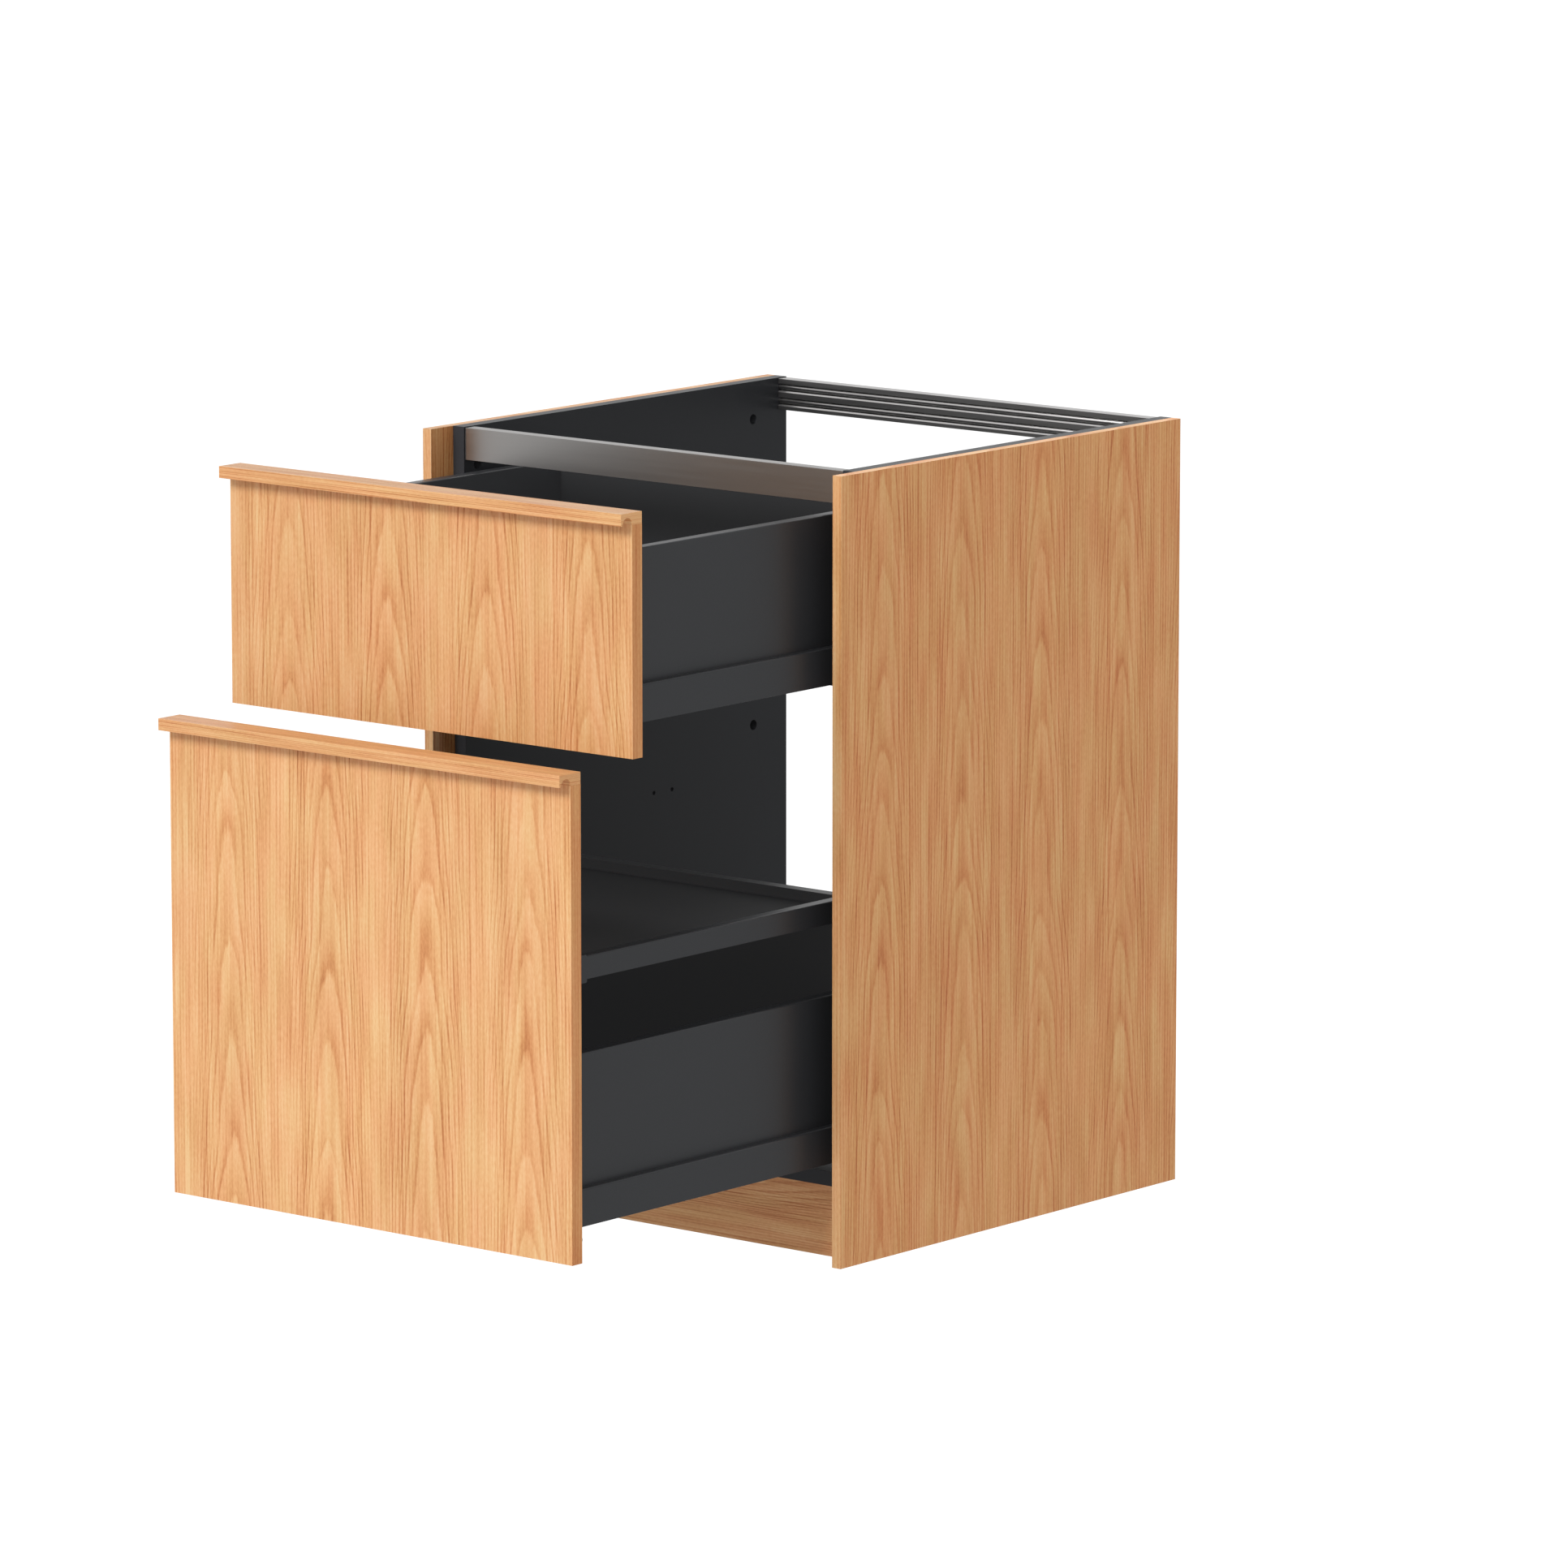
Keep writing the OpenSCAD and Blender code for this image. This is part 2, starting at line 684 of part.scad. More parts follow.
module top_front_panel()
    front_panel(top_y, top_front_z, top_front_h, top_base, top_side_h);
module top_handle_strip() handle_strip(top_y, top_front_top);
module top_side_left() drawer_side(-1, top_y, top_base, top_side_h, drawer_l, true);
module top_side_right() drawer_side(1, top_y, top_base, top_side_h, drawer_l, true);
module top_drawer_bottom() drawer_bottom(top_y, top_base, drawer_l);
module top_drawer_back() drawer_back(top_y + drawer_l, top_base, top_side_h);
module top_front_brackets() front_brackets(top_y, top_base, top_side_h);
module top_front_screws() front_screws(top_y, top_base, top_side_h);
module top_back_brackets() back_brackets(top_y + drawer_l, top_base, top_side_h);
module top_bumpers() bumpers(top_y, top_front_z, top_front_h);

// Lowest drawer

module lower_front_panel()
    front_panel(lower_y, lower_front_z, lower_front_h, lower_base, lower_side_h);
module lower_handle_strip() handle_strip(lower_y, lower_front_top);
module lower_side_left() drawer_side(-1, lower_y, lower_base, lower_side_h, drawer_l, true);
module lower_side_right() drawer_side(1, lower_y, lower_base, lower_side_h, drawer_l, true);
module lower_drawer_bottom() drawer_bottom(lower_y, lower_base, drawer_l);
module lower_drawer_back() drawer_back(lower_y + drawer_l, lower_base, lower_back_h);
module lower_front_brackets() front_brackets(lower_y, lower_base, lower_side_h);
module lower_front_screws() front_screws(lower_y, lower_base, lower_side_h);
module lower_back_brackets() back_brackets(lower_y + drawer_l, lower_base, lower_side_h);
module lower_bumpers() bumpers(lower_y, lower_front_z, lower_front_h);

// Inner drawer

module inner_side_left() drawer_side(-1, inner_y, inner_base, inner_side_h, inner_l, false);
module inner_side_right() drawer_side(1, inner_y, inner_base, inner_side_h, inner_l, false);
module inner_drawer_bottom() drawer_bottom(inner_y, inner_base, inner_l);
module inner_drawer_back() drawer_back(inner_y + inner_l, inner_base, inner_side_h);
module inner_back_brackets() back_brackets(inner_y + inner_l, inner_base, inner_side_h);

// A low hollow bar closes the front of the inner drawer
module inner_front_bar() in_frame() color(anthracite)
    translate([0, inner_y - front_bar_t, inner_base]) along_x(2 * (side_x - cap_inward))
        difference() {
            round_topped(front_bar_t, inner_side_h, rim_r);
            translate([sheet_t, sheet_t])
                square([front_bar_t - 2 * sheet_t, inner_side_h - 2 * sheet_t]);
        }

// A cap joins each end of the bar to a side
module inner_end_caps() in_frame() color(anthracite) both_sides() {
    cap_h = inner_side_h + cap_over + cap_under;
    translate([side_x - cap_inward, inner_y - cap_l, inner_base - cap_under])
        rotate([90, 0, 90]) linear_extrude(cap_inward + side_w + cap_proud)
            translate([cap_r, cap_r]) union() {
                translate([-cap_r, 0]) square([cap_l, cap_h - 2 * cap_r]);
                translate([0, -cap_r]) square([cap_l - 2 * cap_r, cap_h]);
                for (y = [0, cap_l - 2 * cap_r], z = [0, cap_h - 2 * cap_r])
                    translate([y, z]) circle(cap_r);
            }
    span([plug_x0, inner_y - past, inner_base + hollow_base + plug_fit],
        [plug_x1, inner_y + bracket_l, inner_base + inner_side_h - sheet_t - plug_fit]);
}

left_side_panel();
right_side_panel();
bottom_panel();
front_rail();
rear_rail();
left_cover_panel();
right_cover_panel();
plinth();
plinth_clips();
leg_sockets();
leg_foot_front_left();
leg_foot_front_right();
leg_foot_back_left();
leg_foot_back_right();
rail_screws();
bottom_screws();
cover_screws();
runner_screws();
top_runner_left();
top_runner_right();
inner_runner_left();
inner_runner_right();
lower_runner_left();
lower_runner_right();
top_slide_left();
top_slide_right();
inner_slide_left();
inner_slide_right();
lower_slide_left();
lower_slide_right();
top_front_panel();
top_handle_strip();
top_side_left();
top_side_right();
top_drawer_bottom();
top_drawer_back();
top_front_brackets();
top_front_screws();
top_back_brackets();
top_bumpers();
lower_front_panel();
lower_handle_strip();
lower_side_left();
lower_side_right();
lower_drawer_bottom();
lower_drawer_back();
lower_front_brackets();
lower_front_screws();
lower_back_brackets();
lower_bumpers();
inner_front_bar();
inner_end_caps();
inner_side_left();
inner_side_right();
inner_drawer_bottom();
inner_drawer_back();
inner_back_brackets();
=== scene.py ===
# The looks of the vanity base cabinet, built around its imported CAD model.
# Everything is in metres in the model's own frame: X across, Y to the wall, Z up.
# The patterns of the materials are laid out in millimetres of the same frame.
import math

import bpy
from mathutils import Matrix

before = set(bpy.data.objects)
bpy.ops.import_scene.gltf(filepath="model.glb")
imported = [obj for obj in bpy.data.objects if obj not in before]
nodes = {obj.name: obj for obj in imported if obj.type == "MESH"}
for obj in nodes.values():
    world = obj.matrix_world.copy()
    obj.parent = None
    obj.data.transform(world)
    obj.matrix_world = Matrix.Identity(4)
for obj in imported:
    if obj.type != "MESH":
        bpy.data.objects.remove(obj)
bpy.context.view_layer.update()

MM = 0.001
# How far a face's normal has to reach along an axis for the face to count as looking along it
FACING = 0.7

# Camera, as solved from the photograph's perspective
CAMERA_PLACE = (6.7740, -8.00735, 2.3186)
CAMERA_AZIMUTH = 39.568
CAMERA_ELEVATION = 9.880
LENS_MM = 221.42
SENSOR_MM = 36.0
CLIP_NEAR = 0.1
CLIP_FAR = 200.0

# Studio light, fitted to the photograph's shading: one wide soft light from straight ahead in
# white surroundings. Mirrored rays see them brighter behind the cabinet than matt faces do.
SUN_ELEVATION = 35.0
SUN_WIDTH = 22.0
SUN_POWER = 1.85
SKY_GLOW = 0.53
SKY_GLOSS = 0.90
SKY_BEHIND = (-0.2, 0.4)
FLOOR_GLOW = 0.64
FLOOR_REACH = 60.0
PAPER_WHITE = 1.1

# Painted fill light: a faint glow that the dark boards and steel emit, fitted to the tones inside
# the photograph's drawers
PAINTED_FILL_HUE = (0.98, 1.0, 1.04, 1.0)
INSIDE_PAINTED_GLOW = 0.011
INNER_PAINTED_GLOW = 0.009
PAINTED_GLOW = 0.0025

# A patch is a noise field: its size across the grain, its size along it, and what it adds to
# the material's seed. A wander is a patch with a reach, and runs half of it either way. A span
# is what a value from 0 to 1 is turned into. An edge is where a smooth step starts and ends.

# Oak veneer: columns of pointed arches, a column's width apart
COLUMN = 142.0
COLUMN_DRIFT = ((90, 420, 0.0, 18), (24, 120, 3.1, 5))
ARCH_PITCH = 92.0
ARCH_STEEPNESS = 0.17
ARCH_POINT = 1.2
ARCH_SHIFT = 5 * ARCH_PITCH
ARCH_WANDERS = ((200, 150, 5.3, 150), (24, 150, 7.7, 44))
LEG_EDGE = (8, 30)
RIPPLE = (4.5, 32, 9.1, 34)
RIPPLE_DETAIL = 2
RIPPLE_SPAN = (1.0, 0.18)

# The dark line of each ring: broad in the middle of a column, crisp in the legs of its arches
BROAD_RING = [(0.0, 0.95), (0.12, 0.88), (0.30, 0.50), (0.58, 0.14), (0.88, 0.0), (1.0, 0.95)]
CRISP_RING = [(0.0, 1.0), (0.12, 1.0), (0.27, 0.25), (0.36, 0.05), (0.42, 0.06), (0.53, 0.42),
              (0.64, 0.06), (0.76, 0.0), (0.90, 0.0), (1.0, 1.0)]
RING_OFFSET = 17.0
RING_SPAN = (0.5, 1.0)
RING_PATCH = (14, 110, 23)
RING_PATCH_EDGE = (0.30, 0.58)
RING_PATCH_SPAN = (0.5, 1.0)
RING_FADE_EDGE = (0.47, 0.32)
RING_FADE_SPAN = (0.25, 1.0)
RING_WEIGHT = 0.54

# Straight fine lines, which fill the pale zones between the columns
THREAD = 4.6
THREAD_SWAYS = ((50, 480, 51, 9), (8, 170, 53, 2))
THREAD_LINE = [(0.0, 0.0), (0.36, 1.0), (0.50, 1.0), (0.90, 0.0)]
THREAD_SPAN = (0.30, 0.95)
THREAD_PATCH = (5, 120, 37)
THREAD_PATCH_EDGE = (0.34, 0.62)
THREAD_PATCH_SPAN = (0.40, 1.0)
THREAD_ZONE_EDGE = (8, 34)
THREAD_ZONE_SPAN = (0.50, 1.0)
THREAD_WEIGHT = 0.46

# Tones of the oak, from the pale wood to the darkest line
DASHES = (1.9, 6.0, 31, 0.46)
BANDS = (5.6, 260, 43, 0.50)
CLOUDS = (17.0, 120, 47, 0.62)
OAK_BASE = 0.155
OAK_STOPS = [(0.0, (0.874, 0.555, 0.277)), (0.30, (0.812, 0.441, 0.194)),
             (0.62, (0.690, 0.318, 0.122)), (1.0, (0.500, 0.180, 0.058))]
TONE_PATCH = (60, 300, 41)
TONE_SPAN = (0.95, 1.05)
HUE_PATCH = (26, 110, 61)
HUE_EDGE = (0.30, 0.70)
HUE_STOPS = [(0.0, (0.990, 1.015, 1.000)), (1.0, (1.010, 0.965, 0.985))]
OAK_GLOSS = 0.34
OAK_ROUGH_SPAN = (0.32, 0.46)
OAK_PORE_MM = 0.05
# Painted side light: the hue and tone that faces that look along X are given, by how dark the
# figure is there
SIDE_LIGHT_HUE = [(0.05, (0.955, 0.858, 0.728)), (0.35, (0.940, 0.832, 0.704)),
            (0.90, (1.0, 0.839, 0.714))]
SIDE_LIGHT_TONE = 1.12

# Melamine board, powder coat, drawn metal and moulded plastic
ROUGH_SWING = 0.04
PRESS = (0.9, 0.9, 0.0)
PRESS_LOW = 0.88
PRESS_MM = 0.03
BOARD_CLOUD = (120, 150, 5)
BOARD_SPAN = (0.94, 1.06)
BOARD_GLOSS = 0.19
PEEL_PER_MM = 0.8
PEEL_LOW = 0.9
PEEL_MM = 0.02
COAT_CLOUD = (140, 110, 0.0)
COAT_SPAN = (0.95, 1.05)
COAT_GLOSS = 0.3
DRAW_LINES = (0.25, 60, 0.0)
DRAW_SMEAR = (6, 220, 9)
DRAW_SPAN = (0.97, 1.03)
DRAW_MM = 0.01
# Where the painted highlight on metal bevels and the painted light or shade on metal tops start
# and end, by how far a face looks up
BEVEL_EDGE = (0.2, 0.5)
TOP_EDGE = (0.85, 0.95)
SPARK = (0.5, 0.5, 0.0)
SPARK_LOW = 0.85
SPARK_MM = 0.03
SPARK_ROUGH_SWING = 0.06

# Radii of rounded edges, in millimetres
FRONT_EDGE = 0.6
STRIP_EDGE = 0.8
PANEL_EDGE = 0.5
BOARD_EDGE = 0.4
METAL_EDGE = 0.25
UNROUNDED = 0.0
WELD_MM = 0.01
SHARP_DEGREES = 30.0
ROUND_SEGMENTS = 2


class Shader:
    """A node material whose nodes are written as short expressions.

    In its patterns a is the place across the grain and v the place along it."""

    def __init__(self, name):
        self.material = bpy.data.materials.new(name)
        self.material.use_nodes = True
        self.tree = self.material.node_tree
        self.tree.nodes.clear()
        output = self.node("ShaderNodeOutputMaterial")
        self.surface = self.node("ShaderNodeBsdfPrincipled")
        self.tree.links.new(self.surface.outputs["BSDF"], output.inputs["Surface"])

    def node(self, kind, inputs=None, **settings):
        made = self.tree.nodes.new(kind)
        for name, value in settings.items():
            setattr(made, name, value)
        for name, value in (inputs or {}).items():
            self.feed(made.inputs[name], value)
        return made

    def feed(self, socket, value):
        if isinstance(value, bpy.types.NodeSocket):
            self.tree.links.new(value, socket)
        else:
            socket.default_value = value

    def set(self, **inputs):
        for name, value in inputs.items():
            self.feed(self.surface.inputs[name.replace("_", " ")], value)

    def math(self, operation, *values):
        return self.node("ShaderNodeMath", dict(enumerate(values)), operation=operation).outputs[0]

    def add(self, one, other):
        return self.math("ADD", one, other)

    def times(self, one, other):
        return self.math("MULTIPLY", one, other)

    def span(self, value, low, high):
        """Goes from low to high as value goes from 0 to 1."""
        return self.math("MULTIPLY_ADD", value, high - low, low)

    def place(self):
        """The place on the model, in millimetres."""
        point = self.node("ShaderNodeTexCoord").outputs["Object"]
        return self.node("ShaderNodeVectorMath", {0: point, "Scale": 1 / MM},
                         operation="SCALE").outputs[0]

    def axes(self):
        split = self.node("ShaderNodeSeparateXYZ", {"Vector": self.place()})
        return dict(zip("xyz", split.outputs))

    def noise(self, a, v, patch, seed, detail=1.0, rough=0.5):
        a_size, v_size, shift = patch
        place = self.node("ShaderNodeCombineXYZ", {
            "X": self.times(a, 1 / a_size), "Y": self.times(v, 1 / v_size), "Z": seed + shift})
        made = self.node("ShaderNodeTexNoise", {
            "Vector": place.outputs[0], "Scale": 1.0, "Detail": detail, "Roughness": rough})
        return made.outputs["Fac"]

    def swing(self, a, v, wander, seed, gain=1.0, detail=1.0):
        *patch, reach = wander
        reach *= gain
        return self.span(self.noise(a, v, patch, seed, detail), -reach / 2, reach / 2)

    def step(self, value, start, end):
        made = self.node("ShaderNodeMapRange", {
            "Value": value, "From Min": start, "From Max": end},
            interpolation_type="SMOOTHSTEP")
        return made.outputs["Result"]

    def ramp(self, value, stops):
        """Runs through grey levels or colours as value goes from 0 to 1."""
        made = self.node("ShaderNodeValToRGB", {"Fac": value})
        points = made.color_ramp.elements
        while len(points) < len(stops):
            points.new(0.5)
        for point, (position, colour) in zip(points, stops):
            point.position = position
            point.color = (*colour, 1.0) if isinstance(colour, tuple) else (colour,) * 3 + (1.0,)
        return made.outputs["Color"]

    def mottle(self, value, colour, low, start=0.3, end=0.7):
        """A colour that is low times itself up to start, and itself from end on."""
        return self.ramp(value, [(start, tuple(low * part for part in colour)), (end, colour)])

    def tint(self, colour, value, low, high):
        """Multiplies a colour by a factor that runs from low to high with value."""
        return self.node("ShaderNodeVectorMath", {0: colour, "Scale": self.span(value, low, high)},
                         operation="SCALE").outputs[0]

    def by(self, colour, hue):
        """One colour times another."""
        return self.node("ShaderNodeVectorMath", {0: colour, 1: hue},
                         operation="MULTIPLY").outputs[0]

    def mix(self, factor, low, high):
        """Goes from one number to another as factor goes from 0 to 1."""
        return self.node("ShaderNodeMix", {0: factor, 2: low, 3: high},
                         data_type="FLOAT").outputs[0]

    def blend(self, factor, low, high):
        """Goes from one colour to another as factor goes from 0 to 1."""
        return self.node("ShaderNodeMix", {0: factor, 6: low, 7: high},
                         data_type="RGBA").outputs[2]

    def normal(self, axis):
        """How far a face looks along an axis, from -1 to 1."""
        normal = self.node("ShaderNodeTexCoord").outputs["Normal"]
        split = self.node("ShaderNodeSeparateXYZ", {"Vector": normal})
        return split.outputs["xyz".index(axis)]

    def facing(self, axis):
        """1 on faces that look along an axis either way, 0 on the others."""
        return self.math("GREATER_THAN", self.math("ABSOLUTE", self.normal(axis)), FACING)

    def random(self, value):
        """An even random number from 0 to 1 for each whole number."""
        return self.node("ShaderNodeTexWhiteNoise", {"W": value},
                         noise_dimensions="1D").outputs["Value"]

    def bump(self, height, depth_mm, strength):
        made = self.node("ShaderNodeBump", {
            "Height": height, "Distance": depth_mm * MM, "Strength": strength})
        self.set(Normal=made.outputs["Normal"])


def oak_rings(s, a, v, off, side, column, seed):
    """Dark lines of arches that point up, and whose legs steepen away from their column."""
    number = s.math("ROUND", s.times(off, 1 / column))
    shift = s.random(s.add(number, seed))
    legs = s.times(side, s.math("MULTIPLY_ADD", side, ARCH_STEEPNESS, ARCH_POINT))
    climb = s.add(s.add(v, legs), s.times(shift, ARCH_SHIFT))
    for wander in ARCH_WANDERS:
        climb = s.add(climb, s.swing(a, v, wander, seed))
    outer = s.step(side, *LEG_EDGE)
    ripple = s.swing(a, v, RIPPLE, seed, detail=RIPPLE_DETAIL)
    climb = s.add(climb, s.times(ripple, s.span(outer, *RIPPLE_SPAN)))
    count = s.times(climb, 1 / ARCH_PITCH)
    part = s.math("FRACT", count)
    year = s.random(s.add(s.math("FLOOR", count), s.times(number, RING_OFFSET)))
    line = s.mix(outer, s.ramp(part, BROAD_RING), s.ramp(part, CRISP_RING))
    patch = s.span(s.step(s.noise(a, v, RING_PATCH, seed), *RING_PATCH_EDGE), *RING_PATCH_SPAN)
    fade = s.span(s.step(side, *(column * share for share in RING_FADE_EDGE)), *RING_FADE_SPAN)
    return s.times(s.times(line, s.span(year, *RING_SPAN)), s.times(patch, fade))


def oak_threads(s, a, v, side, seed):
    """Straight fine lines, each with its own strength and broken into lengths."""
    sway = s.add(*(s.swing(a, v, wander, seed) for wander in THREAD_SWAYS))
    thread = s.times(s.add(a, sway), 1 / THREAD)
    line = s.ramp(s.math("FRACT", thread), THREAD_LINE)
    line = s.times(line, s.span(s.random(s.math("FLOOR", thread)), *THREAD_SPAN))
    broken = s.step(s.noise(a, v, THREAD_PATCH, seed), *THREAD_PATCH_EDGE)
    line = s.times(line, s.span(broken, *THREAD_PATCH_SPAN))
    return s.times(line, s.span(s.step(side, *THREAD_ZONE_EDGE), *THREAD_ZONE_SPAN))


def oak(name, across, along, centre, seed, edge=None, column=COLUMN, squeeze=1.0,
        base=OAK_BASE, side_base=0.0, streak=1.0, tone=1.0, top=1.0):
    """Flat-cut oak veneer whose columns of arches stand at centre + n * column.

    across and along name the axes that run across and along the grain. edge names an axis, and
    then those two for the faces that look along it. squeeze makes the figure finer across the
    grain, base and side_base darken it (side_base on faces that look along X), streak is the
    strength of its lines and bands, tone brightens it, and top paints a highlight on level
    faces. Faces that look along X get a painted side-light hue and tone."""
    s = Shader(name)
    axes = s.axes()
    a = axes[across[0]]
    for axis in across[1:]:
        a = s.add(a, axes[axis])
    v = axes[along]
    if edge:
        turned = s.facing(edge[0])
        a = s.mix(turned, a, axes[edge[1]])
        v = s.mix(turned, v, axes[edge[2]])
    a = s.times(a, squeeze)
    # Distance from the middle of the nearest column of arches
    drift = s.add(*(s.swing(a, v, wander, seed) for wander in COLUMN_DRIFT))
    off = s.add(s.add(a, -centre), drift)
    side = s.math("PINGPONG", off, column / 2)
    # How dark the figure is
    dark = s.add(s.times(oak_rings(s, a, v, off, side, column, seed), RING_WEIGHT),
                 s.times(oak_threads(s, a, v, side, seed), THREAD_WEIGHT * streak))
    for wander, gain in ((DASHES, 1.0), (BANDS, streak), (CLOUDS, 1.0)):
        dark = s.add(dark, s.swing(a, v, wander, seed, gain))
    sideways = s.facing("x")
    dark = s.add(dark, s.math("MULTIPLY_ADD", sideways, side_base, base))
    # Its colour
    colour = s.ramp(dark, OAK_STOPS)
    colour = s.tint(colour, s.noise(a, v, TONE_PATCH, seed), *(tone * end for end in TONE_SPAN))
    hue = s.ramp(s.step(s.noise(a, v, HUE_PATCH, seed), *HUE_EDGE), HUE_STOPS)
    colour = s.by(colour, hue)
    # Faces that look along X get a painted side-light hue and tone
    side_light_hue = s.tint(s.by(colour, s.ramp(dark, SIDE_LIGHT_HUE)), 1.0, SIDE_LIGHT_TONE, SIDE_LIGHT_TONE)
    colour = s.blend(sideways, colour, side_light_hue)
    # Painted highlight on level faces, as strong as top
    colour = s.tint(colour, s.facing("z"), 1.0, top)
    s.set(Base_Color=colour, Specular_IOR_Level=OAK_GLOSS,
          Roughness=s.span(dark, *OAK_ROUGH_SPAN))
    s.bump(s.times(dark, -1.0), OAK_PORE_MM, strength=0.5)
    return s.material


def board(name, colour, rough=0.36, seed=0.0, painted_glow=PAINTED_GLOW, y_face_lift=1.0, gloss=BOARD_GLOSS):
    """Matt melamine with a fine pressed texture, lighter on faces that look along Y, and a faint
    painted glow that stands in for fill light.
    """
    s = Shader(name)
    axes = s.axes()
    a = s.add(axes["x"], axes["y"])
    v = s.add(axes["z"], axes["y"])
    press = s.noise(a, v, PRESS, seed, detail=3.0, rough=0.6)
    cloud = s.noise(a, v, BOARD_CLOUD, seed)
    mottled = s.tint(s.mottle(press, colour, PRESS_LOW), cloud, *BOARD_SPAN)
    # Faces that look along Y are made lighter
    mottled = s.tint(mottled, s.facing("y"), 1.0, y_face_lift)
    # The emission is a painted glow that stands in for fill light
    s.set(Base_Color=mottled, Specular_IOR_Level=gloss,
          Emission_Color=PAINTED_FILL_HUE, Emission_Strength=painted_glow,
          Roughness=s.span(cloud, rough - ROUGH_SWING, rough + ROUGH_SWING))
    s.bump(press, PRESS_MM, strength=0.5)
    return s.material


def coated_steel(name, colour, rough=0.34, seed=20.0, painted_glow=PAINTED_GLOW):
    """Powder coat: an even fine orange-peel skin, and a faint painted glow that stands in for fill
    light.
    """
    s = Shader(name)
    axes = s.axes()
    peel = s.node("ShaderNodeTexNoise", {
        "Vector": s.place(), "Scale": PEEL_PER_MM, "Detail": 2.0}).outputs["Fac"]
    cloud = s.noise(s.add(axes["x"], axes["y"]), axes["z"], COAT_CLOUD, seed)
    # The emission is a painted glow that stands in for fill light
    s.set(Base_Color=s.tint(s.mottle(peel, colour, PEEL_LOW), cloud, *COAT_SPAN),
          Specular_IOR_Level=COAT_GLOSS, Emission_Color=PAINTED_FILL_HUE, Emission_Strength=painted_glow,
          Roughness=s.span(cloud, rough - ROUGH_SWING, rough + ROUGH_SWING))
    s.bump(peel, PEEL_MM, strength=0.4)
    return s.material


def brushed(name, colour, along, rough=0.3, seed=40.0, streak=0.15, bevel_glint=1.0, top=1.0):
    """Metal with fine draw lines along one axis, a painted highlight on its bevels, and painted
    light or shade on its top as top is above or below 1.
    """
    s = Shader(name)
    axes = s.axes()
    a = s.add(*(axes[axis] for axis in "xyz" if axis != along))
    lines = s.noise(a, axes[along], DRAW_LINES, seed, detail=3.0, rough=0.7)
    smear = s.noise(a, axes[along], DRAW_SMEAR, seed)
    metal = s.tint(s.mottle(lines, colour, 1 - streak, 0.25, 0.75), smear, *DRAW_SPAN)
    # Painted highlight on bevels that look partly up, and painted light or shade on faces that
    # look up
    up = s.normal("z")
    bevel = s.times(s.step(up, *BEVEL_EDGE), s.step(up, *reversed(TOP_EDGE)))
    metal = s.tint(metal, bevel, 1.0, bevel_glint)
    metal = s.tint(metal, s.step(up, *TOP_EDGE), 1.0, top)
    s.set(Base_Color=metal, Metallic=1.0,
          Roughness=s.span(smear, rough - ROUGH_SWING, rough + ROUGH_SWING))
    s.bump(lines, DRAW_MM, strength=streak)
    return s.material


def plastic(name, colour, rough=0.5, seed=60.0):
    """Moulded plastic with a fine spark-eroded grain."""
    s = Shader(name)
    axes = s.axes()
    grain = s.noise(s.add(axes["x"], axes["y"]), axes["z"], SPARK, seed, detail=2.0)
    s.set(Base_Color=s.mottle(grain, colour, SPARK_LOW, 0.2, 0.8),
          Roughness=s.span(grain, rough - SPARK_ROUGH_SWING, rough + SPARK_ROUGH_SWING))
    s.bump(grain, SPARK_MM, strength=0.4)
    return s.material


def dress(obj, material):
    obj.data.materials.clear()
    obj.data.materials.append(material)


def soften(obj, radius_mm):
    """Welds the imported mesh and rounds its sharp edges a little."""
    weld = obj.modifiers.new("weld", "WELD")
    weld.merge_threshold = WELD_MM * MM
    bevel = obj.modifiers.new("edges", "BEVEL")
    bevel.width = radius_mm * MM
    bevel.segments = ROUND_SEGMENTS
    bevel.limit_method = "ANGLE"
    bevel.angle_limit = math.radians(SHARP_DEGREES)
    bevel.harden_normals = False
    bevel.use_clamp_overlap = True


def make_camera():
    data = bpy.data.cameras.new("camera")
    data.lens = LENS_MM
    data.sensor_width = SENSOR_MM
    data.sensor_fit = "HORIZONTAL"
    data.clip_start = CLIP_NEAR
    data.clip_end = CLIP_FAR
    camera = bpy.data.objects.new("camera", data)
    camera.location = CAMERA_PLACE
    camera.rotation_euler = (math.radians(90 - CAMERA_ELEVATION), 0, math.radians(CAMERA_AZIMUTH))
    bpy.context.scene.collection.objects.link(camera)
    bpy.context.scene.camera = camera


def make_floor():
    """A floor that the camera sees as plain white, and that lights the model from below."""
    mesh = bpy.data.meshes.new("floor")
    corners = [(x * FLOOR_REACH, y * FLOOR_REACH, 0)
               for x, y in ((-1, -1), (1, -1), (1, 1), (-1, 1))]
    mesh.from_pydata(corners, [], [(0, 1, 2, 3)])
    floor = bpy.data.objects.new("floor", mesh)
    bpy.context.scene.collection.objects.link(floor)
    s = Shader("floor")
    seen = s.node("ShaderNodeLightPath").outputs["Is Camera Ray"]
    s.set(Base_Color=(0, 0, 0, 1), Roughness=1.0, Specular_IOR_Level=0.0,
          Emission_Color=(1, 1, 1, 1), Emission_Strength=s.span(seen, FLOOR_GLOW, PAPER_WHITE))
    dress(floor, s.material)


